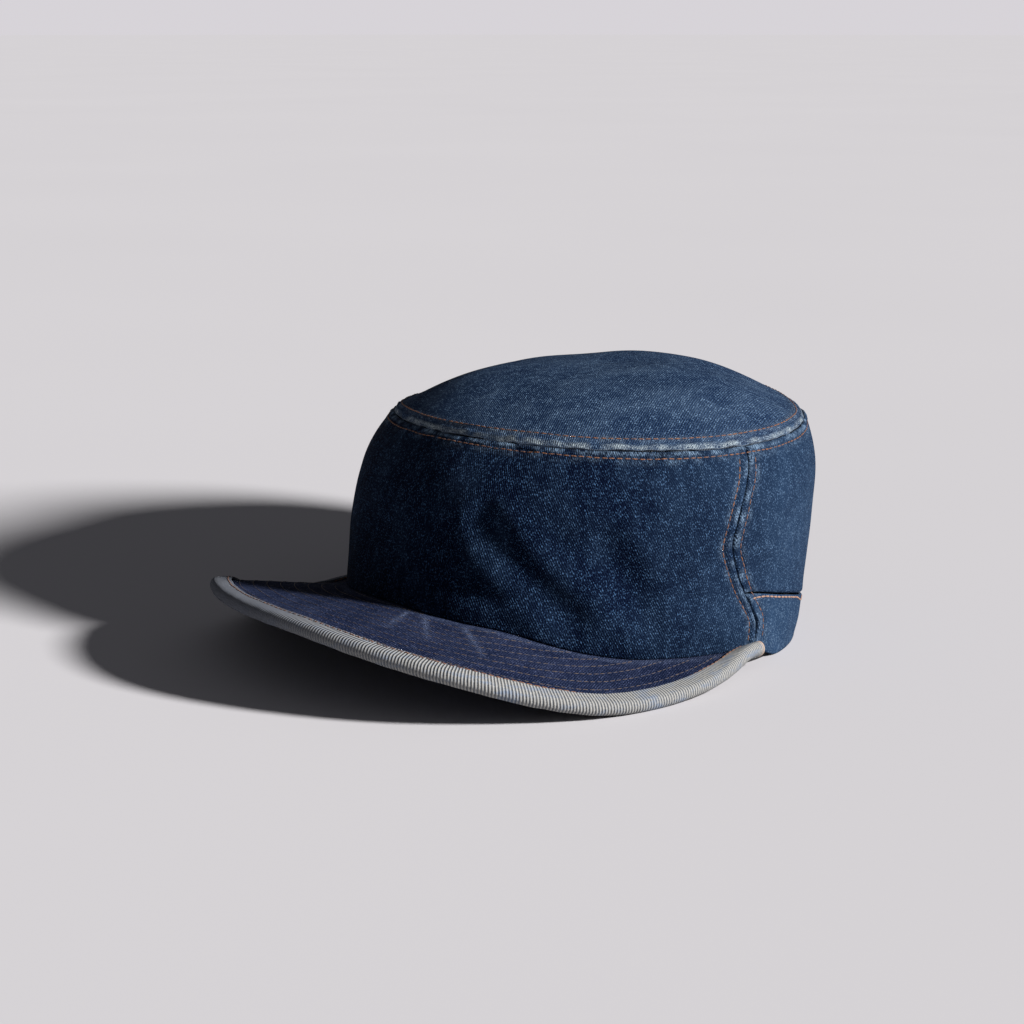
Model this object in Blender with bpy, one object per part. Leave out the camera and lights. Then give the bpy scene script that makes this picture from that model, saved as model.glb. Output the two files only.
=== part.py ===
"""Denim work cap: a round crown with a domed top, a shaped back band and a bound brim.

The wearer faces -Y, +X is the wearer's left, and the cap rests on the floor at z = 0.
Angles run round the crown in degrees from the front, positive towards the wearer's left.
"""
import math
from collections import namedtuple

import bmesh
import bpy
from mathutils import Vector

# Driving sizes, in metres
CROWN_HALF_WIDTH = 0.0923
CROWN_FRONT = 0.1027
CROWN_BACK = 0.0853
FRONT_LIFT = 0.0263
TOP_HALF_WIDTH = 0.0870
TOP_HALF_LENGTH = 0.0839
TOP_SETBACK = 0.0085
SEAM_HEIGHT = 0.0891
SEAM_WAVE = 0.0015
DOME_RISE = 0.0202
RIM_ROUND = 0.0012
RIM_RUN = 0.0040
WALL_SWELL = 0.0040
SHOULDER_ROUND = 0.0056
SHOULDER_DROP = 0.0168
FOLD_DEPTH = 0.0020
BAND_HEIGHT = 0.0300
GATHER_DEPTH = 0.0005
CLOTH = 0.0012
SEAM_CLOTH = 0.0021
SEAM_WIDTH = 0.0044
SEAM_RIDGE = 0.0005
BRIM_REACH = 0.0579
BRIM_EDGE_LIFT = 0.0271
BRIM_THICKNESS = 0.0032
TAPE_CLOTH = 0.0010
TAPE_WRAP = 0.0056
SWEATBAND_HEIGHT = 0.0280
SWEATBAND_CLOTH = 0.0012
SWEATBAND_LEAN = 0.0040
SWEATBAND_SAG = 0.0040

# Clearances, in metres
SEAM_GAP = 0.0006
FIT_GAP = 0.0003
TAPE_CLEARANCE = 0.0008
FLOOR_PRESS = 0.0003

# Angles and counts
BRIM_END = 94.0
SAG_ANGLE = 96.0
SAG_SPREAD = 11.0
GATHERS = 14
BRIM_COLUMNS = 44
DOME_POWER = 3.27
BRIM_POWER = 1.15
LEVEL_SHARE = 0.3
FOLD_FADE_LOW = 0.07
FOLD_FADE_HIGH = 0.12

# Steps used to find a surface's slope, the distance at which points are one, and the
# angle in degrees above which an edge is shaded sharp
ANGLE_STEP = 0.5
SHARE_STEP = 0.01
DISTANCE_STEP = 0.0005
MERGE_DISTANCE = 1e-6
SHARP_ANGLE = 50.0

# Height of the crown's lower edge round the cap, as a share of FRONT_LIFT
CrownEdge = namedtuple("CrownEdge", "angle lift")
CROWN_EDGE = [
    CrownEdge(0, 1.00),
    CrownEdge(30, 0.84),
    CrownEdge(60, 0.41),
    CrownEdge(80, 0.31),
    CrownEdge(94, 0.27),
    CrownEdge(107, 0.00),
    CrownEdge(180, 0.00),
]

# The brim's outer edge: its reach beyond the crown as a share of BRIM_REACH, and the
# height of its underside on the wearer's left and right as a share of BRIM_EDGE_LIFT
BrimEdge = namedtuple("BrimEdge", "angle reach left right")
BRIM_EDGE = [
    BrimEdge(0, 1.00, 1.00, 1.00),
    BrimEdge(30, 0.96, 0.60, 0.84),
    BrimEdge(44, 0.82, 0.22, 0.30),
    BrimEdge(55, 0.68, 0.02, 0.08),
    BrimEdge(62, 0.57, 0.00, 0.00),
    BrimEdge(75, 0.37, 0.06, 0.06),
    BrimEdge(94, 0.10, 0.25, 0.25),
]

# How far the wall stands out of the straight line from its lower edge to its shoulder,
# at shares of its height, as shares of WALL_SWELL
WallSection = namedtuple("WallSection", "height front back")
WALL_SECTIONS = [
    WallSection(0.00, 0.00, 0.00),
    WallSection(0.13, 0.37, 0.30),
    WallSection(0.28, 0.50, 0.31),
    WallSection(0.41, 0.72, 0.25),
    WallSection(0.54, 1.07, 0.18),
    WallSection(0.63, 1.25, 0.25),
    WallSection(0.72, 1.06, 0.33),
    WallSection(0.81, 0.73, 0.18),
    WallSection(0.88, 0.41, -0.04),
    WallSection(0.94, 0.12, -0.09),
    WallSection(1.00, 0.00, 0.00),
]

# The side seams bow forward at mid height
SideSeam = namedtuple("SideSeam", "height angle")
SIDE_SEAM = [
    SideSeam(0.00, 95.5),
    SideSeam(0.12, 94.5),
    SideSeam(0.28, 88.5),
    SideSeam(0.40, 85.0),
    SideSeam(0.55, 82.0),
    SideSeam(0.72, 83.2),
    SideSeam(1.00, 87.5),
]

# Top line of the back band, as a share of BAND_HEIGHT
BandLine = namedtuple("BandLine", "angle height")
BAND_LINE = [
    BandLine(88, 1.00),
    BandLine(104, 0.85),
    BandLine(120, 0.66),
    BandLine(137, 0.48),
    BandLine(158, 0.40),
    BandLine(180, 0.38),
]

# Section of the cloth beside a seam: distance from the groove as a share of SEAM_WIDTH,
# rise as a share of SEAM_RIDGE, and how much of the turned edge lies beneath
SeamSection = namedtuple("SeamSection", "distance rise turned")
SEAM_SECTIONS = [
    SeamSection(0.00, -0.80, 1.0),
    SeamSection(0.18, 0.70, 1.0),
    SeamSection(0.50, 1.00, 1.0),
    SeamSection(1.00, -0.15, 0.2),
    SeamSection(1.50, 0.00, 0.0),
]

# Folds in the wall: place, length and width as shares of SEAM_HEIGHT, tilt in degrees
# from level, and rise as a share of FOLD_DEPTH
Fold = namedtuple("Fold", "angle height length width tilt rise")
FOLDS = [
    Fold(37, 0.41, 0.33, 0.075, -35, 0.80),
    Fold(50, 0.47, 0.34, 0.090, -27, -0.95),
    Fold(24, 0.17, 0.30, 0.045, 7, -0.95),
    Fold(20, 0.30, 0.22, 0.080, 0, 0.45),
    Fold(72, 0.62, 0.30, 0.080, 80, 0.40),
    Fold(66, 0.20, 0.20, 0.080, -10, 0.40),
    Fold(112, 0.62, 0.22, 0.070, 62, -0.45),
    Fold(128, 0.50, 0.24, 0.080, -40, 0.40),
    Fold(-28, 0.38, 0.28, 0.090, 28, 0.55),
    Fold(-46, 0.50, 0.30, 0.080, 36, -0.60),
    Fold(-100, 0.55, 0.26, 0.090, 55, -0.50),
    Fold(168, 0.50, 0.24, 0.090, 20, -0.45),
]

# Dents and swells of the domed top: place as angle and share of the way to the rim,
# spread as a share of TOP_HALF_LENGTH, and rise as a share of DOME_RISE
TopDent = namedtuple("TopDent", "angle reach spread rise")
TOP_DENTS = [
    TopDent(-70, 0.80, 0.30, -0.21),
    TopDent(-45, 0.86, 0.16, -0.08),
    TopDent(140, 0.84, 0.30, -0.17),
    TopDent(100, 0.45, 0.34, 0.08),
    TopDent(-115, 0.45, 0.26, -0.07),
    TopDent(10, 0.62, 0.22, -0.03),
]

Finish = namedtuple("Finish", "color roughness")
FINISHES = {
    "crown_top": Finish((0.075, 0.125, 0.215, 1.0), 0.90),
    "front_side_panel": Finish((0.040, 0.075, 0.160, 1.0), 0.90),
    "back_panel": Finish((0.040, 0.075, 0.165, 1.0), 0.90),
    "back_band": Finish((0.042, 0.078, 0.170, 1.0), 0.90),
    "brim": Finish((0.045, 0.060, 0.130, 1.0), 0.88),
    "brim_binding": Finish((0.480, 0.470, 0.430, 1.0), 0.92),
    "sweatband": Finish((0.010, 0.010, 0.012, 1.0), 0.80),
}


def clear_scene():
    for item in list(bpy.data.objects):
        bpy.data.objects.remove(item, do_unlink=True)


def smooth_between(rows, column, place):
    """Value of a table's column at a place: smooth between rows, level at both ends."""
    places = [row[0] for row in rows]
    values = [getattr(row, column) for row in rows]
    place = min(max(place, places[0]), places[-1])
    slopes = [0.0] * len(rows)
    for index in range(1, len(rows) - 1):
        before = (values[index] - values[index - 1]) / (places[index] - places[index - 1])
        after = (values[index + 1] - values[index]) / (places[index + 1] - places[index])
        if before * after > 0:
            slopes[index] = 2 * before * after / (before + after)
    start = max(index for index in range(len(rows) - 1) if places[index] <= place)
    span = places[start + 1] - places[start]
    part = (place - places[start]) / span
    rising = part * part * (3 - 2 * part)
    leaving = part * (1 - part) ** 2 * span * slopes[start]
    arriving = part * part * (part - 1) * span * slopes[start + 1]
    return values[start] + (values[start + 1] - values[start]) * rising + leaving + arriving


def outward(angle):
    turn = math.radians(angle)
    return Vector((math.sin(turn), -math.cos(turn), 0.0))


def to_degrees(distance):
    """Angle that a distance along the wall takes up at the crown's side."""
    return math.degrees(distance / CROWN_HALF_WIDTH)


def from_front(angle):
    """Angle away from the front, 0 to 180, on either side of the cap."""
    return abs((angle + 180.0) % 360.0 - 180.0)


def edge_height(angle):
    return FRONT_LIFT * smooth_between(CROWN_EDGE, "lift", from_front(angle))


def edge_point(angle):
    """The crown's lower edge, on its outer face."""
    turn = math.radians(angle)
    length = CROWN_FRONT if math.cos(turn) > 0 else CROWN_BACK
    side = CROWN_HALF_WIDTH * math.sin(turn)
    return Vector((side, -length * math.cos(turn), edge_height(angle)))


def seam_point(angle):
    """The groove between the wall and the top panel."""
    turn = math.radians(angle)
    side = TOP_HALF_WIDTH * math.sin(turn)
    along = TOP_SETBACK - TOP_HALF_LENGTH * math.cos(turn)
    return Vector((side, along, SEAM_HEIGHT + SEAM_WAVE * math.cos(2 * turn)))


def wall_height(angle):
    return seam_point(angle).z - edge_height(angle)


def fold_rise(angle, share):
    """How far the folds lift the wall, fading out at its two edges."""
    total = 0.0
    for fold in FOLDS:
        turned = (angle - fold.angle + 180.0) % 360.0 - 180.0
        sideways = math.radians(turned) * CROWN_HALF_WIDTH
        upward = (share - fold.height) * SEAM_HEIGHT
        tilt = math.radians(fold.tilt)
        along = sideways * math.cos(tilt) + upward * math.sin(tilt)
        across = upward * math.cos(tilt) - sideways * math.sin(tilt)
        reach = (along / (fold.length * SEAM_HEIGHT)) ** 2
        reach += (across / (fold.width * SEAM_HEIGHT)) ** 2
        total += fold.rise * math.exp(-reach)
    fade = min(1.0, share / FOLD_FADE_LOW) * min(1.0, max(0.0, 1.0 - share) / FOLD_FADE_HIGH)
    return FOLD_DEPTH * total * fade


def plain_wall_point(angle, share):
    """Outer face of the crown's wall without its folds, lower edge at 0, top seam at 1."""
    low = edge_point(angle)
    high = seam_point(angle) + outward(angle) * SHOULDER_ROUND
    point = low.lerp(high, share)
    back = (1 - math.cos(math.radians(angle))) / 2
    front_swell = smooth_between(WALL_SECTIONS, "front", share)
    back_swell = smooth_between(WALL_SECTIONS, "back", share)
    swell = WALL_SWELL * (front_swell + (back_swell - front_swell) * back)
    below_seam = high.z - point.z
    turned_in = max(0.0, 1.0 - below_seam / SHOULDER_DROP) ** 2
    return point + outward(angle) * (swell - SHOULDER_ROUND * turned_in)


def wall_point(angle, share):
    return plain_wall_point(angle, share) + outward(angle) * fold_rise(angle, share)


def top_point(angle, reach):
    """Outer face of the domed top, its middle at 0 and the seam at 1."""
    middle = Vector((0.0, TOP_SETBACK, SEAM_HEIGHT))
    point = middle.lerp(seam_point(angle), reach)
    from_rim = (1 - reach) * TOP_HALF_LENGTH
    point.z += DOME_RISE * (1 - reach ** DOME_POWER)
    point.z += RIM_ROUND * (1 - max(0.0, 1 - from_rim / RIM_RUN) ** 2)
    for dent in TOP_DENTS:
        place = middle.lerp(seam_point(dent.angle), dent.reach)
        away = math.hypot(point.x - place.x, point.y - place.y)
        depth = math.exp(-(away / (dent.spread * TOP_HALF_LENGTH)) ** 2)
        point.z += DOME_RISE * dent.rise * depth * min(1.0, from_rim / (2 * RIM_RUN))
    return point


def face_normal(surface, first, second, first_step, second_step):
    """Outward normal of a surface, from its two directions."""
    along = surface(first + first_step, second) - surface(first - first_step, second)
    up = surface(first, second + second_step) - surface(first, second - second_step)
    return along.cross(up).normalized()


def wall_normal(angle, share):
    """Outward normal of the wall, laid level towards the lower edge."""
    inside = min(max(share, SHARE_STEP), 1 - SHARE_STEP)
    normal = face_normal(wall_point, angle, inside, ANGLE_STEP, SHARE_STEP)
    normal.z *= min(1.0, share / LEVEL_SHARE)
    return normal.normalized()


def seam_value(column, distance):
    return smooth_between(SEAM_SECTIONS, column, distance / SEAM_WIDTH)


def cloth_at(distance):
    """Thickness of the wall beside a seam, where the cloth's edge is turned under."""
    return CLOTH + (SEAM_CLOTH - CLOTH) * seam_value("turned", distance)


def toward_seam(normal, angle, distance):
    """Normal turned to one shared direction near the top seam, so that its edges lie face to face."""
    shared = (outward(angle) + Vector((0.0, 0.0, 1.0))).normalized()
    return normal.lerp(shared, seam_value("turned", max(0.0, distance))).normalized()


def seam_distances():
    """Places of the mesh lines beside a seam, from the groove."""
    return [SEAM_GAP / 2 + row.distance * SEAM_WIDTH for row in SEAM_SECTIONS]


def cloth_sheet(name, columns, rows, faces_at):
    """A closed sheet from a grid: faces_at gives its outer and inner point at a column and row."""
    mesh = bmesh.new()
    bmesh.ops.create_grid(mesh, x_segments=columns, y_segments=rows, size=0.5)
    depth = mesh.verts.layers.float_vector.new("depth")
    for vert in mesh.verts:
        column = round((vert.co.x + 0.5) * columns)
        row = round((vert.co.y + 0.5) * rows)
        outer, inner = faces_at(column, row)
        vert.co = outer
        vert[depth] = inner - outer
    bmesh.ops.remove_doubles(mesh, verts=mesh.verts, dist=MERGE_DISTANCE)
    copied = bmesh.ops.extrude_face_region(mesh, geom=mesh.faces[:], use_keep_orig=True)
    for item in copied["geom"]:
        if isinstance(item, bmesh.types.BMVert):
            item.co = item.co + item[depth]
    bmesh.ops.recalc_face_normals(mesh, faces=mesh.faces)
    return finished(name, mesh)


def finished(name, mesh):
    """Turn a mesh into a named object with its finish, shaded smooth."""
    data = bpy.data.meshes.new(name)
    mesh.to_mesh(data)
    mesh.free()
    data.shade_smooth()
    data.set_sharp_from_angle(angle=math.radians(SHARP_ANGLE))
    finish = FINISHES[name]
    material = bpy.data.materials.new(name)
    material.use_nodes = True
    shader = material.node_tree.nodes["Principled BSDF"]
    shader.inputs["Base Color"].default_value = finish.color
    shader.inputs["Roughness"].default_value = finish.roughness
    data.materials.append(material)
    piece = bpy.data.objects.new(name, data)
    bpy.context.scene.collection.objects.link(piece)
    return piece


def wall_faces(angle, share, ridge_distance, cloth_distance, gathered=0.0):
    """Outer and inner point of the wall, with its seam ridge and turned cloth."""
    from_top = (1 - share) * wall_height(angle) - SEAM_GAP / 2
    normal = toward_seam(wall_normal(angle, share), angle, from_top)
    point = wall_point(angle, share) + outward(angle) * gathered
    outer = point + normal * SEAM_RIDGE * seam_value("rise", ridge_distance)
    inner = point - normal * cloth_at(cloth_distance)
    return outer, inner


def make_front_side_panel():
    """One wall round the front and sides, from side seam to side seam."""
    beside = seam_distances()
    middle = 34
    steps = len(beside) - 1
    columns = middle + 2 * steps
    body_rows = 10
    rows = body_rows + steps

    def faces_at(column, row):
        share = 0.5
        angle = 0.0
        for settle in range(4):
            below = beside[rows - row] if row >= body_rows else None
            top_share = 1 - beside[-1] / wall_height(angle)
            share = top_share * row / body_rows if below is None else 1 - below / wall_height(angle)
            seam = smooth_between(SIDE_SEAM, "angle", share)
            inner_angle = seam - to_degrees(beside[-1])
            if column < steps:
                angle = -seam + to_degrees(beside[column])
            elif column > columns - steps:
                angle = seam - to_degrees(beside[columns - column])
            else:
                angle = inner_angle * (2 * (column - steps) / middle - 1)
        from_side = (seam - abs(angle)) / to_degrees(1.0) - SEAM_GAP / 2
        from_top = (1 - share) * wall_height(angle) - SEAM_GAP / 2
        from_seam = max(0.0, min(from_side, from_top))
        return wall_faces(angle, share, from_seam, from_seam)

    return cloth_sheet("front_side_panel", columns, rows, faces_at)


def band_share(angle):
    """Height of the band's top line as a share of the wall's height."""
    height = BAND_HEIGHT * smooth_between(BAND_LINE, "height", from_front(angle))
    return (height - edge_height(angle)) / wall_height(angle)


def back_angle(column, columns, steps, share, beside):
    """Angle of a back column, with the mesh lines that follow both side seams."""
    seam = smooth_between(SIDE_SEAM, "angle", share)
    if column < steps:
        return seam + to_degrees(beside[column])
    if column > columns - steps:
        return 360.0 - seam - to_degrees(beside[columns - column])
    first = seam + to_degrees(beside[-1])
    return first + (360.0 - 2 * first) * (column - steps) / (columns - 2 * steps)


def side_distance(angle, share):
    """Distance from a place at the back to the nearer side seam's cloth edge."""
    seam = smooth_between(SIDE_SEAM, "angle", share)
    return max(0.0, (from_front(angle) - seam) / to_degrees(1.0) - SEAM_GAP / 2)


def make_back_panel():
    """The back wall, whose folded lower edge stands over the band."""
    beside = seam_distances()
    steps = len(beside) - 1
    columns = 18 + 2 * steps
    body_rows = 8
    low_steps = 3
    rows = low_steps + body_rows + steps

    def faces_at(column, row):
        angle = 180.0
        share = 0.5
        for settle in range(5):
            height = wall_height(angle)
            low = band_share(angle)
            if row < low_steps:
                share = low + beside[row] / height
            elif row > rows - steps:
                share = 1 - beside[rows - row] / height
            else:
                first = low + beside[low_steps] / height
                last = 1 - beside[-1] / height
                share = first + (last - first) * (row - low_steps) / body_rows
            angle = back_angle(column, columns, steps, share, beside)
        from_top = (1 - share) * wall_height(angle) - SEAM_GAP / 2
        from_band = (share - band_share(angle)) * wall_height(angle) - SEAM_GAP / 2
        from_seam = max(0.0, min(side_distance(angle, share), from_top, from_band))
        return wall_faces(angle, share, from_seam, from_seam)

    return cloth_sheet("back_panel", columns, rows, faces_at)


def make_back_band():
    """The gathered lower back, whose flat hem rests on the floor."""
    beside = seam_distances()
    steps = len(beside) - 1
    columns = 4 * GATHERS + 2 * steps
    rows = 4

    def faces_at(column, row):
        angle = 180.0
        share = 0.1
        for settle in range(5):
            top_share = band_share(angle) - SEAM_GAP / 2 / wall_height(angle)
            share = top_share * row / rows
            angle = back_angle(column, columns, steps, share, beside)
        from_side = side_distance(angle, share)
        across = (column - steps) / (columns - 2 * steps)
        wave = math.cos(2 * math.pi * GATHERS * across)
        fullness = math.sin(math.pi * row / rows)
        fade = min(1.0, from_side / (2 * SEAM_WIDTH))
        gathered = GATHER_DEPTH * wave * fullness * fade
        from_hem = share * wall_height(angle)
        return wall_faces(angle, share, from_side, min(from_side, from_hem), gathered)

    return cloth_sheet("back_band", columns, rows, faces_at)


def make_crown_top():
    """The domed top, one round panel with a ridge at its rim."""
    beside = seam_distances()
    columns = 52
    body_rows = 6
    rows = body_rows + len(beside) - 1
    inside = 1 - beside[-1] / TOP_HALF_LENGTH

    def faces_at(column, row):
        angle = 360.0 * column / columns
        if row <= body_rows:
            reach = inside * row / body_rows
        else:
            reach = 1 - beside[rows - row] / TOP_HALF_LENGTH
        point = top_point(angle, reach)
        if row == 0:
            normal = Vector((0.0, 0.0, 1.0))
        else:
            inner_reach = min(reach, 1 - SHARE_STEP)
            normal = -face_normal(top_point, angle, inner_reach, ANGLE_STEP, SHARE_STEP)
        from_seam = max(0.0, (1 - reach) * TOP_HALF_LENGTH - SEAM_GAP / 2)
        normal = toward_seam(normal, angle, from_seam)
        outer = point + normal * SEAM_RIDGE * seam_value("rise", from_seam)
        inner = point - normal * cloth_at(from_seam)
        return outer, inner

    return cloth_sheet("crown_top", columns, rows, faces_at)


def sweatband_face(angle, height):
    """The sweatband's outer face at a height above the crown's lower edge."""
    share = max(0.0, height / wall_height(angle))
    lean = SWEATBAND_LEAN * max(0.0, height) / SWEATBAND_HEIGHT
    inset = SEAM_CLOTH + FIT_GAP + lean
    point = plain_wall_point(angle, share) - outward(angle) * inset
    point.z = edge_height(angle) + height
    return point


def sweatband_foot(angle):
    """Height of the sweatband's lower edge above the floor."""
    covers_brim = edge_height(angle) - BRIM_THICKNESS - 2 * FIT_GAP
    away = (from_front(angle) - SAG_ANGLE) / SAG_SPREAD
    return max(0.0, covers_brim - SWEATBAND_SAG * math.exp(-away * away))


def make_sweatband():
    """The black band inside the crown, down over the brim's inner edge."""
    columns = 56
    rows = 3

    def faces_at(column, row):
        angle = 360.0 * column / columns
        foot = sweatband_foot(angle) - edge_height(angle)
        height = foot + (SWEATBAND_HEIGHT - foot) * row / rows
        outer = sweatband_face(angle, height)
        return outer, outer - outward(angle) * SWEATBAND_CLOTH

    return cloth_sheet("sweatband", columns, rows, faces_at)


def brim_edge_out(angle):
    """Distance from the crown's face to the outer edge of the brim inside its tape."""
    reach = BRIM_REACH * smooth_between(BRIM_EDGE, "reach", abs(angle))
    return reach - BRIM_THICKNESS / 2 - FIT_GAP - TAPE_CLOTH


def brim_point(angle, out):
    """Upper face of the brim, at a distance out from the crown's face."""
    crown_side = edge_height(angle) - FIT_GAP
    side = "left" if angle > 0 else "right"
    underside = BRIM_EDGE_LIFT * smooth_between(BRIM_EDGE, side, abs(angle))
    outer_side = underside + TAPE_CLOTH + FIT_GAP + BRIM_THICKNESS - FLOOR_PRESS
    grip = min(1.0, brim_edge_out(angle) / TAPE_WRAP)
    outer_side = crown_side + (outer_side - crown_side) * grip
    part = max(0.0, out / brim_edge_out(angle))
    point = edge_point(angle) + outward(angle) * out
    point.z = crown_side + (outer_side - crown_side) * part ** BRIM_POWER
    return point


def brim_normal(angle, out):
    return -face_normal(brim_point, angle, max(out, 2 * DISTANCE_STEP), ANGLE_STEP, DISTANCE_STEP)


def make_brim():
    """The stiff brim, from under the crown's cloth to inside its tape."""
    rows = 7

    def faces_at(column, row):
        angle = BRIM_END * (2 * column / BRIM_COLUMNS - 1)
        if row == 0:
            seat = sweatband_face(angle, -FIT_GAP) + outward(angle) * FIT_GAP
            out = (seat - edge_point(angle)).dot(outward(angle))
        else:
            out = brim_edge_out(angle) * (row - 1) / (rows - 1)
        upper = brim_point(angle, out)
        down = Vector((0.0, 0.0, -1.0)) if row == 0 else -brim_normal(angle, out)
        return upper, upper + down * BRIM_THICKNESS

    return cloth_sheet("brim", BRIM_COLUMNS, rows, faces_at)


def tape_wrap(angle):
    """How far the tape reaches in over the brim, kept clear of the wall at the brim's ends."""
    edge = brim_edge_out(angle)
    tape_top = brim_point(angle, edge).z + FIT_GAP + TAPE_CLOTH
    share = max(0.0, tape_top - edge_height(angle)) / wall_height(angle)
    wall_out = (plain_wall_point(angle, share) - edge_point(angle)).dot(outward(angle))
    return min(TAPE_WRAP, edge - max(0.0, wall_out) - SEAM_RIDGE - TAPE_CLEARANCE)


def make_brim_binding():
    """The tape folded over the brim's outer edge, pressed flat where it meets the floor."""
    leg_rows = 2
    nose_rows = 6
    rows = 2 * leg_rows + nose_rows
    inner_radius = BRIM_THICKNESS / 2 + FIT_GAP

    def faces_at(column, row):
        angle = BRIM_END * (2 * column / BRIM_COLUMNS - 1)
        edge = brim_edge_out(angle)
        wrap = tape_wrap(angle)
        if row < leg_rows:
            out = edge - wrap * (leg_rows - row) / leg_rows
            turn = math.pi / 2
        elif row > leg_rows + nose_rows:
            out = edge - wrap * (row - leg_rows - nose_rows) / leg_rows
            turn = -math.pi / 2
        else:
            out = edge
            turn = math.pi / 2 - math.pi * (row - leg_rows) / nose_rows
        normal = brim_normal(angle, out)
        forward = brim_point(angle, out + DISTANCE_STEP) - brim_point(angle, out - DISTANCE_STEP)
        forward.normalize()
        middle = brim_point(angle, out) - normal * BRIM_THICKNESS / 2
        around = forward * math.cos(turn) + normal * math.sin(turn)
        inner = middle + around * inner_radius
        outer = middle + around * (inner_radius + TAPE_CLOTH)
        outer.z = max(0.0, outer.z)
        return outer, inner

    return cloth_sheet("brim_binding", BRIM_COLUMNS, rows, faces_at)


def stand_on_origin(pieces):
    """Move the meshes so that the middle of their outline is over the origin."""
    corners = [vert.co for piece in pieces for vert in piece.data.vertices]
    middle_x = (min(co.x for co in corners) + max(co.x for co in corners)) / 2
    middle_y = (min(co.y for co in corners) + max(co.y for co in corners)) / 2
    for piece in pieces:
        for vert in piece.data.vertices:
            vert.co.x -= middle_x
            vert.co.y -= middle_y


def build_cap():
    clear_scene()
    pieces = [
        make_crown_top(),
        make_front_side_panel(),
        make_back_panel(),
        make_back_band(),
        make_brim(),
        make_brim_binding(),
        make_sweatband(),
    ]
    stand_on_origin(pieces)


build_cap()
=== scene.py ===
import math
import random

import bmesh
import bpy
import numpy as np
from mathutils import Matrix, Vector, geometry, noise
from mathutils.bvhtree import BVHTree


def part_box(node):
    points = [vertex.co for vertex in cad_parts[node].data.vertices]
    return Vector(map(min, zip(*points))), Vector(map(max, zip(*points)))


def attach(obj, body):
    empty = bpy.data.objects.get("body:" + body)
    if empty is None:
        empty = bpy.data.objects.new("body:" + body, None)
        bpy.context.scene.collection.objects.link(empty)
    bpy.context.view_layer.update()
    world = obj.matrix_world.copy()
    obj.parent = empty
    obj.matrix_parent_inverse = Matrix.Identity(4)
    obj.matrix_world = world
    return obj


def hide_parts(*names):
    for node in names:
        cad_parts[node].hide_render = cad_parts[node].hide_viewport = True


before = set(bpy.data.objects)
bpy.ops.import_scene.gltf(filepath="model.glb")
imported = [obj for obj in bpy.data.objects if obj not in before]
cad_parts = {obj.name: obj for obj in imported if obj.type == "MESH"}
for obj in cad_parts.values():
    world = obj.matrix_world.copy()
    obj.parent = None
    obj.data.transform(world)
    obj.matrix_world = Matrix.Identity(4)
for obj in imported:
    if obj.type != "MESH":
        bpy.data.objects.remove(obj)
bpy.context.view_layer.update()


# The domed top: one round panel of washed denim, sewn to the wall all round with its
# edges turned under. It is the most faded panel, and rubbed white along its rim.

# The seam round the top, in metres: half its width and length, how far its middle lies
# behind the crown's, its height, and how far it rises at front and back and dips at the sides
TOP_HALF_WIDTH = 0.0870
TOP_HALF_LENGTH = 0.0839
TOP_SETBACK = 0.0085
SEAM_HEIGHT = 0.0891
SEAM_WAVE = 0.0015
# Where the cloth turns down at the rim
RIM_RISE = 0.0036
RIM_WIDTH = 0.008
# How far the cut edges are drawn together, and how near the seam
SEAM_CLOSING = 0.6
CLOSING_WIDTH = 0.0010
# The stitch rows' distances from the groove, on the top and on the wall, and the depth and
# width of the line that they draw in
STITCH_ABOVE = 0.0036
STITCH_BELOW = 0.0032
STITCH_SINK = 0.00045
SINK_WIDTH = 0.0008

SAME_PLACE = 1e-6
FLAT_ANGLE = math.radians(60)
CREASE_ANGLE = math.radians(50)
CREASE_STRENGTH = 0.95
UP = np.array([0.0, 0.0, 1.0])
# Faces turned further inwards than this show the cloth's reverse
TURNED_IN = -0.15

top_low, top_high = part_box("crown_top")
top_middle = (top_high.y + top_low.y) / 2
crown_middle = top_middle - TOP_SETBACK


def add_object(name, data):
    made = bpy.data.objects.new(name, data)
    bpy.context.scene.collection.objects.link(made)
    return made


def finer_cloth(name, node, levels):
    """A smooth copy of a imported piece, which keeps its cut edges fairly crisp."""
    mesh = bmesh.new()
    mesh.from_mesh(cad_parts[node].data)
    bmesh.ops.remove_doubles(mesh, verts=mesh.verts, dist=SAME_PLACE)
    bmesh.ops.join_triangles(mesh, faces=mesh.faces, angle_face_threshold=FLAT_ANGLE,
                             angle_shape_threshold=FLAT_ANGLE)
    crease = mesh.edges.layers.float.new("crease_edge")
    for edge in mesh.edges:
        if len(edge.link_faces) == 2 and edge.calc_face_angle() > CREASE_ANGLE:
            edge[crease] = CREASE_STRENGTH
    data = bpy.data.meshes.new(name)
    mesh.to_mesh(data)
    mesh.free()
    for leftover in ("custom_normal", "sharp_edge", "sharp_face"):
        if leftover in data.attributes:
            data.attributes.remove(data.attributes[leftover])
    piece = add_object(name, data)
    finer = piece.modifiers.new("finer", "SUBSURF")
    finer.levels = levels
    finer.render_levels = levels
    graph = bpy.context.evaluated_depsgraph_get()
    smooth = bpy.data.meshes.new_from_object(piece.evaluated_get(graph))
    piece.modifiers.clear()
    piece.data = smooth
    smooth.shade_smooth()
    return piece


def places_of(piece):
    places = np.empty(len(piece.data.vertices) * 3)
    piece.data.vertices.foreach_get("co", places)
    return places.reshape(-1, 3)


def normals_of(piece):
    normals = np.empty(len(piece.data.vertices) * 3)
    piece.data.vertices.foreach_get("normal", normals)
    return normals.reshape(-1, 3)


def move_to(piece, places):
    piece.data.vertices.foreach_set("co", places.ravel())
    piece.data.update()


def uneven(places, size, start):
    """Smooth unevenness from -1 to 1, with bumps of about this size in metres."""
    return np.array([noise.noise(Vector(place) / size + Vector((start, 0, 0))) for place in places])


def hump(distance, middle, width):
    return np.exp(-((distance - middle) / width) ** 2)


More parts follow.
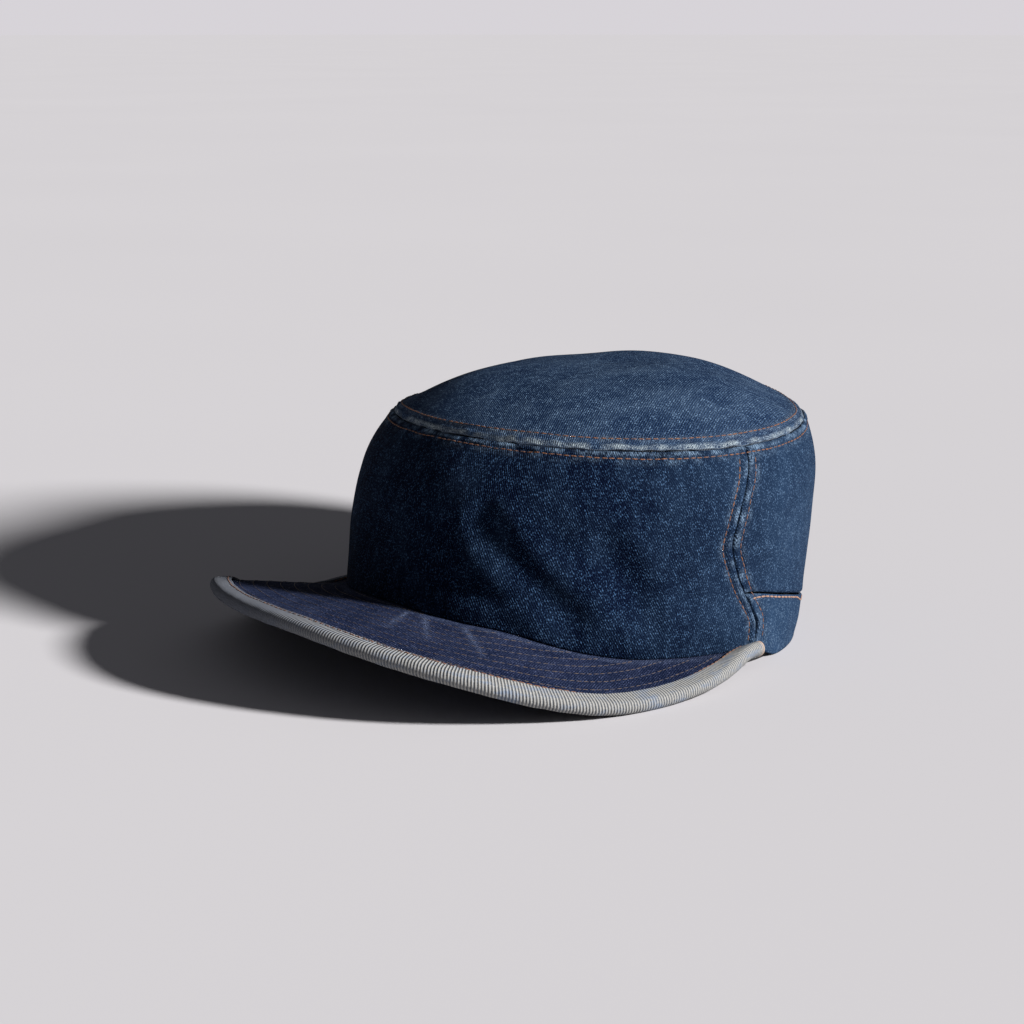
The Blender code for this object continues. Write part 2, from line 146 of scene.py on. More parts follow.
def mark(piece, name, values):
    """Keep a value from 0 to 1 at each point, for the cloth's colour."""
    kept = piece.data.attributes.new(name, "FLOAT", "POINT")
    kept.data.foreach_set("value", np.clip(values, 0, 1).astype(np.float32))


def lay_grain(piece, across, along):
    """The cloth's grain, in metres, as a UV map."""
    layer = piece.data.uv_layers.new(name="cloth")
    corners = np.empty(len(piece.data.loops), dtype=np.int64)
    piece.data.loops.foreach_get("vertex_index", corners)
    grain = np.stack([across[corners], along[corners]], 1)
    layer.uv.foreach_set("vector", grain.ravel().astype(np.float32))


def new_material(name):
    material = bpy.data.materials.new(name)
    material.use_nodes = True
    return material, material.node_tree, material.node_tree.nodes["Principled BSDF"]


def add_node(tree, kind, sockets, **settings):
    """A shader node with its sockets linked or set."""
    made = tree.nodes.new(kind)
    for name, value in settings.items():
        setattr(made, name, value)
    for place, value in sockets.items():
        if isinstance(value, bpy.types.NodeSocket):
            tree.links.new(value, made.inputs[place])
        else:
            made.inputs[place].default_value = value
    return made


def mixed(tree, share, first, second):
    """The first colour where the share is 0, the second where it is 1."""
    mix = add_node(tree, "ShaderNodeMix", {0: share, 6: first, 7: second}, data_type="RGBA")
    return mix.outputs[2]


def reckon(tree, operation, first, second=0.0):
    return add_node(tree, "ShaderNodeMath", {0: first, 1: second}, operation=operation).outputs[0]


def ramped(tree, value, low, high, end=1.0):
    """0 below low, end above high."""
    return add_node(tree, "ShaderNodeMapRange", {"Value": value, "From Min": low, "From Max": high,
                                                 "To Min": 0.0, "To Max": end}).outputs["Result"]


def kept_value(tree, name):
    return add_node(tree, "ShaderNodeAttribute", {}, attribute_name=name).outputs["Fac"]


def halved(colour):
    return tuple(channel * 0.5 for channel in colour[:3]) + (1.0,)


MILLIMETRES = 1000
TWILL_SLANT = math.radians(-27)
# The flecks' scale along the warp as a share of that across it, which draws them out
WARP_SHARE = 0.62
WEAVE_HEIGHT = 0.00035
LUMP_HEIGHT = 0.0016
ROW_HEIGHT = 0.0005
REVERSE_GROUND = (0.17, 0.22, 0.30, 1.0)
REVERSE_FLECK = (0.45, 0.48, 0.50, 1.0)


def denim(name, ground, fleck, worn, fleck_share, rows=0.0):
    """Washed denim: indigo warp and white weft in a steep twill, speckled and rubbed.

    The colours are those of the ground, its flecks and the rubbed places, and rows is the
    spacing of the rows that are stitched through it.
    """
    material, tree, shader = new_material(name)
    grain = add_node(tree, "ShaderNodeUVMap", {}, uv_map="cloth").outputs["UV"]
    slanted = add_node(tree, "ShaderNodeMapping", {"Vector": grain, "Rotation": (0, 0, TWILL_SLANT),
                                                   "Scale": (MILLIMETRES,) * 3}).outputs[0]
    twill = add_node(tree, "ShaderNodeTexWave", {"Vector": slanted, "Scale": 0.37, "Distortion": 1.6,
                                                 "Detail": 2.0, "Detail Scale": 1.4}).outputs["Fac"]
    drawn_out = (MILLIMETRES, MILLIMETRES * WARP_SHARE, MILLIMETRES)
    warp = add_node(tree, "ShaderNodeMapping", {"Vector": grain, "Scale": drawn_out}).outputs[0]
    speckle = add_node(tree, "ShaderNodeTexNoise", {"Vector": warp, "Scale": 1.9, "Detail": 2.0,
                                                    "Roughness": 0.75}).outputs["Fac"]
    slub = add_node(tree, "ShaderNodeTexNoise", {"Vector": warp, "Scale": 0.32, "Detail": 4.0,
                                                 "Roughness": 0.75}).outputs["Fac"]
    cloud = add_node(tree, "ShaderNodeTexNoise", {"Vector": warp, "Scale": 0.05, "Detail": 4.0,
                                                  "Roughness": 0.6}).outputs["Fac"]
    thick_places = reckon(tree, "MULTIPLY", reckon(tree, "SUBTRACT", slub, 0.5), 0.40)
    clustered = reckon(tree, "ADD", speckle, thick_places)
    raised_threads = reckon(tree, "ADD", reckon(tree, "MULTIPLY", twill, 0.45), 0.55)
    flecks = reckon(tree, "MULTIPLY", ramped(tree, clustered, 0.55, 0.65, fleck_share), raised_threads)
    threads = mixed(tree, twill, halved(ground), ground)
    paling = reckon(tree, "ADD", kept_value(tree, "paling"), ramped(tree, cloud, 0.44, 0.68, 0.10))
    colour = mixed(tree, flecks, mixed(tree, paling, threads, fleck),
                   mixed(tree, reckon(tree, "MULTIPLY", paling, 2.0), fleck, worn))
    rubbing = reckon(tree, "MULTIPLY", kept_value(tree, "wear"), ramped(tree, clustered, 0.40, 0.60))
    colour = mixed(tree, rubbing, colour, worn)
    reverse = mixed(tree, flecks, REVERSE_GROUND, REVERSE_FLECK)
    colour = mixed(tree, kept_value(tree, "inside"), colour, reverse)
    tree.links.new(colour, shader.inputs["Base Color"])
    threads_high = reckon(tree, "ADD", reckon(tree, "MULTIPLY", twill, 0.5),
                          reckon(tree, "MULTIPLY", speckle, 0.9))
    weave = add_node(tree, "ShaderNodeBump", {"Height": threads_high, "Distance": WEAVE_HEIGHT,
                                              "Strength": 0.8})
    lumps = add_node(tree, "ShaderNodeBump", {"Height": cloud, "Distance": LUMP_HEIGHT,
                                              "Strength": 0.5, "Normal": weave.outputs[0]})
    last = lumps
    if rows:
        phase = reckon(tree, "MULTIPLY", kept_value(tree, "from_edge"), math.tau / rows)
        swell = reckon(tree, "COSINE", phase)
        last = add_node(tree, "ShaderNodeBump", {"Height": swell, "Distance": ROW_HEIGHT,
                                                 "Strength": 0.09, "Normal": lumps.outputs[0]})
    tree.links.new(last.outputs[0], shader.inputs["Normal"])
    shader.inputs["Roughness"].default_value = 0.92
    shader.inputs["Specular IOR Level"].default_value = 0.05
    return material


def put_on(piece, node, material):
    """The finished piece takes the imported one's place."""
    piece.data.materials.clear()
    piece.data.materials.append(material)
    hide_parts(node)
    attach(piece, "root")


def seam_turn(places):
    """Angle round the top's own oval, in radians from the front."""
    return np.arctan2(places[:, 0] / TOP_HALF_WIDTH, -(places[:, 1] - top_middle) / TOP_HALF_LENGTH)


def seam_places(turn):
    return np.stack([TOP_HALF_WIDTH * np.sin(turn), top_middle - TOP_HALF_LENGTH * np.cos(turn),
                     SEAM_HEIGHT + SEAM_WAVE * np.cos(2 * turn)], 1)


def seam_distance(places):
    """Distance from the groove between top and wall."""
    return np.linalg.norm(places - seam_places(seam_turn(places)), axis=1)


def closed_seam(places, rim):
    """The cut edges drawn together, so that only a thin dark line is left between them."""
    pull = SEAM_CLOSING * hump(rim, 0, CLOSING_WIDTH)
    return places + (seam_places(seam_turn(places)) - places) * pull[:, None]


top = finer_cloth("domed_top", "crown_top", 3)
places = places_of(top)
normals = normals_of(top)
rim = seam_distance(places)
# Slow waves, puckers beside the seam, and the line that the stitches draw in
lift = 0.00035 * uneven(places, 0.022, 3.0)
lift += 0.00085 * uneven(places, 0.0046, 9.0) * hump(rim, 0.0020, 0.0024)
lift -= STITCH_SINK * hump(rim, STITCH_ABOVE, SINK_WIDTH)
move_to(top, closed_seam(places, rim) + UP * lift[:, None])
# Rubbed in patches along the ridge, and a little beyond the stitches
mark(top, "wear", hump(rim, 0.0014, 0.0011) * (0.55 + 1.3 * uneven(places, 0.0050, 5.0))
     + 0.22 * hump(rim, 0.0050, 0.0013) * (0.5 + 1.5 * uneven(places, 0.005, 2.0)))
mark(top, "inside", normals[:, 2] < TURNED_IN)
# The grain is spread by the drop at the rim, so that the pattern isn't smeared down it
radial = np.hypot(places[:, 0], places[:, 1] - top_middle)
drop = np.clip(SEAM_HEIGHT + RIM_RISE - places[:, 2], 0, RIM_WIDTH) * (rim < RIM_WIDTH)
stretch = 1 + drop / np.maximum(radial, 0.01)
lay_grain(top, places[:, 0] * stretch, (places[:, 1] - top_middle) * stretch)
FADED = denim("faded_denim", ground=(0.014, 0.033, 0.082, 1.0), fleck=(0.190, 0.310, 0.480, 1.0),
              worn=(0.340, 0.400, 0.430, 1.0), fleck_share=0.80)
put_on(top, "crown_top", FADED)


# The front and side wall: one long piece of darker denim round the face, from one side
# seam to the other. Soft folds run across it, and its edges are rubbed white at the seams.

def round_turn(places):
    """Angle round the crown in degrees from the front, positive to the wearer's left."""
    return np.degrees(np.arctan2(places[:, 0], -(places[:, 1] - crown_middle)))


def node_places(node):
    return np.array([vert.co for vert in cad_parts[node].data.vertices])


def highest_by(keys, values, width):
    """(key, value) pairs of the highest value in each strip of keys."""
    strips = np.round(keys / width).astype(int)
    best = [np.flatnonzero(strips == strip)[values[strips == strip].argmax()]
            for strip in np.unique(strips)]
    pairs = sorted((keys[i], values[i]) for i in best)
    return np.array(pairs).T


def smooth_rows(rows, places):
    """Smooth values between a table's rows, level at both ends."""
    keys, values = np.array(rows).T
    rises = np.diff(values) / np.diff(keys)
    before, after = rises[:-1], rises[1:]
    alike = before * after > 0
    total = np.where(alike, before + after, 1.0)
    slopes = np.concatenate([[0.0], np.where(alike, 2 * before * after / total, 0.0), [0.0]])
    start = np.clip(np.searchsorted(keys, places, "right") - 1, 0, len(keys) - 2)
    span = keys[start + 1] - keys[start]
    part = (places - keys[start]) / span
    leaving = part * (1 - part) ** 2 * span * slopes[start]
    arriving = part * part * (part - 1) * span * slopes[start + 1]
    between = (values[start + 1] - values[start]) * part * part * (3 - 2 * part)
    return values[start] + between + leaving + arriving


# The wall's lower edge, in metres from the crown's middle, and how far its upper edge stands
# outside the top's seam before it turns in
CROWN_HALF_WIDTH = 0.0923
CROWN_FRONT = 0.1027
CROWN_BACK = 0.0853
SHOULDER_ROUND = 0.0056
# The side seam: share of the wall's height there, and angle round from the front in degrees
SIDE_SEAM = ((0.00, 95.5), (0.12, 94.5), (0.28, 88.5), (0.40, 85.0), (0.55, 82.0), (0.72, 83.2),
             (1.00, 87.5))
# The wall's lower edge near that seam: the same angle, and the height
SIDE_EDGE = ((80, 0.0082), (94, 0.0071), (107, 0.0))
# Where the stitches beside the side seam draw the cloth in, and how deep
SIDE_ROW = 0.0043
SIDE_SINK = 0.00040
# How far the side seam's edges are drawn together, and how near the seam
SIDE_CLOSING = 0.75
SIDE_CLOSING_WIDTH = 0.0011
# Below this height the relief dies away, so that the hem stays flat
HEM_STILL = 0.006
# Paler towards the back, from this angle on and over so many degrees, and paler on the band
REARWARD_PALING = 0.17
PALING_FROM = 60.0
PALING_OVER = 45.0
BAND_PALING = 0.10

shares = np.linspace(0, 1, 80)
seam_angle = smooth_rows(SIDE_SEAM, shares)
turn = np.radians(seam_angle)
low_edge = np.interp(seam_angle, *np.array(SIDE_EDGE).T)
side_heights = low_edge + shares * (SEAM_HEIGHT + SEAM_WAVE * np.cos(2 * turn) - low_edge)
crown_length = np.where(np.cos(turn) > 0, CROWN_FRONT, CROWN_BACK)
half_width = CROWN_HALF_WIDTH + (TOP_HALF_WIDTH + SHOULDER_ROUND - CROWN_HALF_WIDTH) * shares
half_length = crown_length + (TOP_HALF_LENGTH + SHOULDER_ROUND - crown_length) * shares
seam_across = np.sin(turn) * half_width
seam_along = -np.cos(turn) * half_length
side_turns = np.degrees(np.arctan2(seam_across, -(seam_along + TOP_SETBACK * shares)))


def side_distance(places):
    """Distance along the wall from the nearer side seam, positive towards the back."""
    turns = round_turn(places)
    seam = np.interp(places[:, 2], side_heights, side_turns)
    radius = np.hypot(places[:, 0], places[:, 1] - crown_middle)
    return np.radians(np.abs(turns) - seam) * radius


WALL_RADIUS = 0.094
# The two long creases: each end's angle round from the front, in degrees to the wearer's
# left, with its height, and then the crease's depth
CREASES = (
    (24.0, 0.062, 44.5, 0.027, 0.0016),
    (52.8, 0.056, 62.4, 0.025, 0.0011),
)
CREASE_WIDTH = 0.0060
# The swell beside a crease: its share of the depth, its distance and its width
SWELL_SHARE = 0.5
SWELL_PLACE = 0.0110
SWELL_WIDTH = 0.0055


def beside_line(flat, begin, end):
    """Distance from the line between two places, and the share of the way along it."""
    begin = np.array(begin)
    reach = np.array(end) - begin
    share = np.clip(((flat - begin) @ reach) / (reach @ reach), 0, 1)
    return np.linalg.norm(flat - begin - share[:, None] * reach, axis=1), share


def creased(places):
    """How far the wall falls back in its two long creases, with a soft swell beside each."""
    spread_out = np.stack([np.radians(round_turn(places)) * WALL_RADIUS, places[:, 2]], 1)
    rise = np.zeros(len(places))
    for turn_one, height_one, turn_two, height_two, depth in CREASES:
        away = beside_line(spread_out, (math.radians(turn_one) * WALL_RADIUS, height_one),
                           (math.radians(turn_two) * WALL_RADIUS, height_two))[0]
        swell = SWELL_SHARE * hump(away, SWELL_PLACE, SWELL_WIDTH)
        rise += depth * (swell - hump(away, 0, CREASE_WIDTH))
    return rise


def wall_relief(places):
    """How far the cloth of the wall stands out for its wrinkles and its stitched seams."""
    rim = seam_distance(places)
    side = side_distance(places)
    # Slow waves and the creases, then puckers at the top and side seams, then stitch lines
    rise = 0.00045 * uneven(places, 0.020, 1.0) + 0.00080 * uneven(places, 0.038, 2.0)
    rise += creased(places)
    rise += 0.00090 * uneven(places, 0.0044, 6.0) * hump(rim, 0.0018, 0.0024)
    rise += 0.00065 * uneven(places, 0.0050, 8.0) * hump(np.abs(side), 0.0022, 0.0026)
    rise -= STITCH_SINK * hump(rim, STITCH_BELOW, SINK_WIDTH)
    rise -= SIDE_SINK * hump(np.abs(side), SIDE_ROW, SINK_WIDTH) * (rim > STITCH_BELOW)
    return rise


def wall_wear(places):
    """Patches rubbed along both seams' ridges, and a little beyond their stitches."""
    rim = seam_distance(places)
    side = np.abs(side_distance(places))
    worn = hump(rim, 0.0014, 0.0010) * (0.45 + 1.3 * uneven(places, 0.0048, 5.0))
    worn += 0.25 * hump(rim, 0.0046, 0.0014) * (0.5 + 1.5 * uneven(places, 0.005, 2.0))
    worn += hump(side, 0.0016, 0.0011) * (0.35 + 1.3 * uneven(places, 0.0060, 4.0))
    worn += 0.25 * hump(side, 0.0054, 0.0013) * (0.5 + 1.5 * uneven(places, 0.005, 7.0))
    return worn


def finish_wall(piece, node, material):
    places = places_of(piece)
    normals = normals_of(piece)
    outward = np.stack([places[:, 0], places[:, 1] - crown_middle, np.zeros(len(places))], 1)
    outward /= np.linalg.norm(outward, axis=1)[:, None]
    turns = round_turn(places)
    side = side_distance(places)
    beside = np.stack([np.cos(np.radians(turns)), np.sin(np.radians(turns)), np.zeros(len(places))], 1)
    beside *= (np.sign(turns) * side * SIDE_CLOSING * hump(side, 0, SIDE_CLOSING_WIDTH))[:, None]
    relief = wall_relief(places) * np.clip(places[:, 2] / HEM_STILL, 0, 1)
    move_to(piece, closed_seam(places, seam_distance(places)) - beside + outward * relief[:, None])
    mark(piece, "wear", wall_wear(places))
    mark(piece, "inside", (normals * outward).sum(1) < TURNED_IN)
    rearward = np.clip((np.abs(turns) - PALING_FROM) / PALING_OVER, 0, 1)
    mark(piece, "paling", REARWARD_PALING * rearward + BAND_PALING * (node == "back_band"))
    if node != "front_side_panel":
        turns = turns % 360.0
    lay_grain(piece, np.radians(turns) * WALL_RADIUS, places[:, 2])
    put_on(piece, node, material)


WALL = denim("wall_denim", ground=(0.0010, 0.0044, 0.0195, 1.0), fleck=(0.051, 0.114, 0.228, 1.0),
             worn=(0.175, 0.260, 0.370, 1.0), fleck_share=0.92)
front = finer_cloth("front_wall", "front_side_panel", 3)
finish_wall(front, "front_side_panel", WALL)


# The back wall: a second piece of the same denim, let into the side seams. Its lower edge
# is folded under and topstitched over the band.

back = finer_cloth("back_wall", "back_panel", 3)
finish_wall(back, "back_panel", WALL)


# The back band: a low strip of the same denim, drawn in slightly by its hem. It is the
# edge that the cap stands on at the back.

band = finer_cloth("back_hem_band", "back_band", 3)
finish_wall(band, "back_band", WALL)


# The brim: two layers of denim over a stiff core, stitched through in rows that follow
# its outer edge. It is sewn under the wall's lower edge.

ROW_SPACING = 0.0055
OUTLINE_POINTS = 400
SMOOTHING_ROUNDS = 60
AT_ONCE = 4000
# Pale scratches: where each starts and ends, in metres from the crown's middle
STREAKS = (((0.024, -0.104), (0.046, -0.121)),
           ((0.040, -0.098), (0.066, -0.110)),
           ((0.016, -0.107), (0.030, -0.128)))
STREAK_STRENGTH = 0.75
STREAK_WIDTH = 0.0011

# The brim's outer edge in plan: the tape's hull, in even steps and smoothed
tape_places = node_places("brim_binding")
hull = geometry.convex_hull_2d([(place[0], place[1]) for place in tape_places])
outline = tape_places[hull][:, :2]
turned = np.degrees(np.arctan2(outline[:, 0], -(outline[:, 1] - crown_middle)))
outline = outline[np.argsort(turned)]
steps = np.linalg.norm(np.diff(outline, axis=0), axis=1)
along = np.concatenate([[0.0], np.cumsum(steps)])
spaced = np.linspace(0, along[-1], OUTLINE_POINTS)
outline = np.stack([np.interp(spaced, along, outline[:, 0]),
                    np.interp(spaced, along, outline[:, 1])], 1)
for again in range(SMOOTHING_ROUNDS):
    outline[1:-1] = (outline[:-2] + 2 * outline[1:-1] + outline[2:]) / 4
edge_way = np.gradient(outline, axis=0)
edge_way /= np.linalg.norm(edge_way, axis=1)[:, None]


def to_outline(places):
    """Distance from the brim's outer edge in plan, and the length along that edge."""
    apart = np.empty(len(places))
    length = np.empty(len(places))
    for start in range(0, len(places), AT_ONCE):
        few = slice(start, start + AT_ONCE)
        part = places[few, None, :2] - outline[None]
        far = np.hypot(part[..., 0], part[..., 1])
        nearest = far.argmin(1)
        every = np.arange(len(nearest))
        apart[few] = far[every, nearest]
        length[few] = spaced[nearest] + (part[every, nearest] * edge_way[nearest]).sum(1)
    return apart, length


def beyond_crown(places):
    """Distance in plan beyond the crown's lower edge."""
    turn = np.arctan2(places[:, 0] / CROWN_HALF_WIDTH, -(places[:, 1] - crown_middle) / CROWN_FRONT)
    edge = np.hypot(CROWN_HALF_WIDTH * np.sin(turn), CROWN_FRONT * np.cos(turn))
    return np.hypot(places[:, 0], places[:, 1] - crown_middle) - edge


brim = finer_cloth("stitched_brim", "brim", 3)
places = places_of(brim)
edge_distance = to_outline(places)[0]
lift = 0.00030 * uneven(places, 0.018, 4.0)
move_to(brim, places + UP * lift[:, None])
streaked = np.zeros(len(places))
flat = places[:, :2] - np.array([0.0, crown_middle])
for begin, end in STREAKS:
    away, share = beside_line(flat, begin, end)
    streaked += STREAK_STRENGTH * hump(away, 0, STREAK_WIDTH) * (1 - share) ** 0.5
mark(brim, "wear", streaked + 0.30 * hump(beyond_crown(places), 0.002, 0.002))
mark(brim, "inside", np.zeros(len(places)))
mark(brim, "from_edge", edge_distance)
lay_grain(brim, places[:, 0], places[:, 1])
BRIM = denim("brim_denim", ground=(0.007, 0.013, 0.040, 1.0), fleck=(0.085, 0.105, 0.200, 1.0),
             worn=(0.130, 0.165, 0.270, 1.0), fleck_share=0.75, rows=ROW_SPACING)
put_on(brim, "brim", BRIM)


# The binding: a pale ribbed strip, taken for denim with its reverse outwards. It is folded
# over the brim's outer edge and caught down by one row of stitches. Its ribs run across it.

RIB_SPACING = 0.00125
TAPE_WIDTH = 0.0085
# Painted shade, darker towards the wearer's right where the tape lies in shadow: how much, from where and
# over what distance
TAPE_SHADE_SHARE = 0.88
TAPE_SHADE_FROM = 0.074
TAPE_SHADE_OVER = 0.080
RAW_END = 0.0035
BETWEEN_RIBS = (0.075, 0.085, 0.100, 1.0)
RIB = (0.320, 0.315, 0.300, 1.0)
PALE_THREAD = (0.460, 0.450, 0.425, 1.0)
BLUE_STAIN = (0.130, 0.185, 0.285, 1.0)
FOLDED_EDGE = (0.100, 0.130, 0.190, 1.0)
# Painted shade: the darker colour laid over the tape towards the wearer's right
PAINTED_TAPE_SHADE = (0.095, 0.105, 0.130, 1.0)
RAW_CLOTH = (0.560, 0.370, 0.250, 1.0)

binding = finer_cloth("edge_binding", "brim_binding", 3)
places = places_of(binding)
apart, length = to_outline(places)
lift = 0.00018 * uneven(places, 0.006, 2.0) * np.clip(places[:, 2] / 0.002, 0, 1)
move_to(binding, places + UP * lift[:, None])
lay_grain(binding, length, apart + places[:, 2])
mark(binding, "inner_edge", hump(apart, TAPE_WIDTH, 0.0012))
# Painted shade on the tape, stronger towards the wearer's right
mark(binding, "painted_tape_shade", TAPE_SHADE_SHARE * np.clip((TAPE_SHADE_FROM - places[:, 0]) / TAPE_SHADE_OVER, 0, 1))
mark(binding, "raw_end", (length - length.max()) / RAW_END + 1)
TAPE, tree, shader = new_material("binding_tape")
grain = add_node(tree, "ShaderNodeUVMap", {}, uv_map="cloth").outputs["UV"]
strip = add_node(tree, "ShaderNodeMapping", {"Vector": grain,
                                             "Scale": (MILLIMETRES,) * 3}).outputs[0]
# At a scale of 1, a wave texture repeats every tau / 20
rib_scale = math.tau / 20 / (RIB_SPACING * MILLIMETRES)
ribs = add_node(tree, "ShaderNodeTexWave", {"Vector": strip, "Scale": rib_scale, "Distortion": 0.35,
                                            "Detail": 1.0, "Detail Scale": 1.2}).outputs["Fac"]
threads = add_node(tree, "ShaderNodeTexNoise", {"Vector": strip, "Scale": 1.1, "Detail": 4.0,
                                                "Roughness": 0.7}).outputs["Fac"]
long_strip = add_node(tree, "ShaderNodeMapping", {"Vector": grain, "Scale": (90, 260, 100)}).outputs[0]
stain = add_node(tree, "ShaderNodeTexNoise", {"Vector": long_strip, "Scale": 1.0, "Detail": 4.0,
                                              "Roughness": 0.65}).outputs["Fac"]
colour = mixed(tree, ribs, BETWEEN_RIBS, RIB)
colour = mixed(tree, ramped(tree, threads, 0.45, 0.70, 0.45), colour, PALE_THREAD)
colour = mixed(tree, ramped(tree, stain, 0.50, 0.68, 0.55), colour, BLUE_STAIN)
folded = reckon(tree, "MULTIPLY", kept_value(tree, "inner_edge"), 0.5)
colour = mixed(tree, folded, colour, FOLDED_EDGE)
# Painted shade mixed over the tape's colour towards the wearer's right
colour = mixed(tree, kept_value(tree, "painted_tape_shade"), colour, PAINTED_TAPE_SHADE)
colour = mixed(tree, kept_value(tree, "raw_end"), colour, RAW_CLOTH)
tree.links.new(colour, shader.inputs["Base Color"])
raised = reckon(tree, "ADD", ribs, reckon(tree, "MULTIPLY", threads, 0.5))
bump = add_node(tree, "ShaderNodeBump", {"Height": raised, "Distance": 0.00035, "Strength": 0.9})
tree.links.new(bump.outputs[0], shader.inputs["Normal"])
shader.inputs["Roughness"].default_value = 0.94
shader.inputs["Specular IOR Level"].default_value = 0.2
put_on(binding, "brim_binding", TAPE)


# The sweatband: a band of black cotton inside the crown, sewn to the wall's lower edge
# and down over the brim's inner edge. A little of it shows behind the brim's end.

SWEATBAND_RADIUS = 0.09
RIB_SLANT = 0.8
BLACK_GROUND = (0.006, 0.006, 0.008, 1.0)
BLACK_RIB = (0.018, 0.018, 0.021, 1.0)
LINT = (0.05, 0.05, 0.055, 1.0)

band_inside = finer_cloth("inner_sweatband", "sweatband", 2)
places = places_of(band_inside)
lay_grain(band_inside, np.radians(round_turn(places) % 360.0) * SWEATBAND_RADIUS, places[:, 2])
BLACK, tree, shader = new_material("sweatband_cloth")
grain = add_node(tree, "ShaderNodeUVMap", {}, uv_map="cloth").outputs["UV"]
strip = add_node(tree, "ShaderNodeMapping", {"Vector": grain, "Rotation": (0, 0, RIB_SLANT),
                                             "Scale": (MILLIMETRES,) * 3}).outputs[0]
ribs = add_node(tree, "ShaderNodeTexWave", {"Vector": strip, "Scale": 0.45, "Distortion": 0.6}).outputs["Fac"]
lint = add_node(tree, "ShaderNodeTexNoise", {"Vector": strip, "Scale": 0.8, "Detail": 4.0}).outputs["Fac"]
colour = mixed(tree, ribs, BLACK_GROUND, BLACK_RIB)
colour = mixed(tree, ramped(tree, lint, 0.60, 0.75, 0.5), colour, LINT)
tree.links.new(colour, shader.inputs["Base Color"])
bump = add_node(tree, "ShaderNodeBump", {"Height": ribs, "Distance": 0.0003, "Strength": 0.7})
tree.links.new(bump.outputs[0], shader.inputs["Normal"])
shader.inputs["Roughness"].default_value = 0.88
put_on(band_inside, "sweatband", BLACK)


# The topstitching: copper brown spun thread in rows of about nine stitches to the inch,
# each stitch sunk a little into the cloth it holds.

STITCH_PITCH = 0.0029
STITCH_LENGTH = 0.0025
STITCH_WIDTH = 0.00062
BACK_STITCH_LENGTH = 0.0028
BACK_STITCH_WIDTH = 0.00085
BRIM_STITCH_WIDTH = 0.00038
# As shares of a stitch's width: half its thickness, and how far its middle stands out
FLATTENING = 0.38
STANDING = 0.10
# Unevenness of the sewing: start as a share of the pitch, and slant
JITTER = 0.05
SKEW = 0.06
AT_A_TIME = 1000
# Rays start from beyond the cap
ABOVE_ALL = 0.2
OUTSIDE_ALL = 0.3
FACING_OUT = 0.2
DOWN = Vector((0, 0, -1))
# Rows beside the side seam: distances from it, and their height above the wall's lower edge
SIDE_ROWS = (-0.0045, 0.0041)
SIDE_START = 0.004
SEAM_RADIUS = 0.093
ROW_STEP = 0.001
# The row along the back seam: width of the strips in degrees, and its place below the fold
BAND_STRIP = 3.0
BELOW_FOLD = 0.0009
# Rows on the brim and the tape: distances from the outer edge, and from the crown
BRIM_ROWS = 9
FIRST_ROW = 0.0118
BRIM_ROW_END = 0.0012
BINDING_ROW = 0.0072
BINDING_ROW_END = 0.0008


def thread(name, colour, rubbed):
    material, tree, shader = new_material(name)
    place = add_node(tree, "ShaderNodeTexCoord", {}).outputs["Object"]
    twist = add_node(tree, "ShaderNodeTexWave", {"Vector": place, "Scale": 420.0, "Distortion": 2.0},
                     bands_direction="DIAGONAL").outputs["Fac"]
    patch = add_node(tree, "ShaderNodeTexNoise", {"Vector": place, "Scale": 260.0,
                                                  "Detail": 3.0}).outputs["Fac"]
    shade = mixed(tree, ramped(tree, patch, 0.42, 0.66), colour, rubbed)
    shade = mixed(tree, reckon(tree, "MULTIPLY", twist, 0.35), shade, halved(colour))
    tree.links.new(shade, shader.inputs["Base Color"])
    bump = add_node(tree, "ShaderNodeBump", {"Height": twist, "Distance": 0.00012, "Strength": 0.7})
    tree.links.new(bump.outputs[0], shader.inputs["Normal"])
    shader.inputs["Roughness"].default_value = 0.7
    return material


def tree_of(*pieces):
    graph = bpy.context.evaluated_depsgraph_get()
    return [BVHTree.FromObject(piece, graph) for piece in pieces]


def drop_on(surfaces, start, way):
    """First place and normal met on the surfaces."""
    met = [surface.ray_cast(start, way) for surface in surfaces]
    met = [hit for hit in met if hit[0] is not None]
    if not met:
        return None
    nearest = min(met, key=lambda hit: hit[3])
    return nearest[0], nearest[1]


def sew(name, paths, material, width=STITCH_WIDTH, pitch=STITCH_PITCH, length=STITCH_LENGTH):
    """Rows of stitches along paths of places and normals."""
    chance = random.Random(name)
    data = bpy.data.meshes.new(name)
    mesh = bmesh.new()
    for path in paths:
        few = bmesh.new()
        points = [spot[0] for spot in path]
        runs = [0.0]
        for before, after in zip(points, points[1:]):
            runs.append(runs[-1] + (after - before).length)
        count = int(runs[-1] / pitch)
        for number in range(count):
            begin = number * pitch + chance.uniform(-JITTER, JITTER) * pitch
            ends = []
            for run in (begin, begin + length):
                index = min(max(int(np.searchsorted(runs, run)), 1), len(points) - 1)
                share = (run - runs[index - 1]) / max(runs[index] - runs[index - 1], 1e-9)
                ends.append(points[index - 1].lerp(points[index], share))
            up = path[index][1]
            way = (ends[1] - ends[0]).normalized()
            side = up.cross(way).normalized()
            side = (side + way * chance.uniform(-SKEW, SKEW)).normalized()
            up = way.cross(side).normalized()
            turn = Matrix((way, side, up)).transposed().to_4x4()
            size = Matrix.Diagonal((length / 2, width / 2, width * FLATTENING, 1.0))
            middle = (ends[0] + ends[1]) / 2 + up * width * STANDING
            bmesh.ops.create_uvsphere(few, u_segments=6, v_segments=5, radius=1.0,
                                      matrix=Matrix.Translation(middle) @ turn @ size
                                      @ Matrix.Rotation(math.pi / 2, 4, "Y"))
            # Written in batches, because a growing mesh gets slower
            if len(few.verts) > AT_A_TIME or number == count - 1:
                few.to_mesh(data)
                few.clear()
                mesh.from_mesh(data)
        few.free()
    mesh.to_mesh(data)
    mesh.free()
    data.shade_smooth()
    data.materials.append(material)
    piece = add_object(name, data)
    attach(piece, "root")


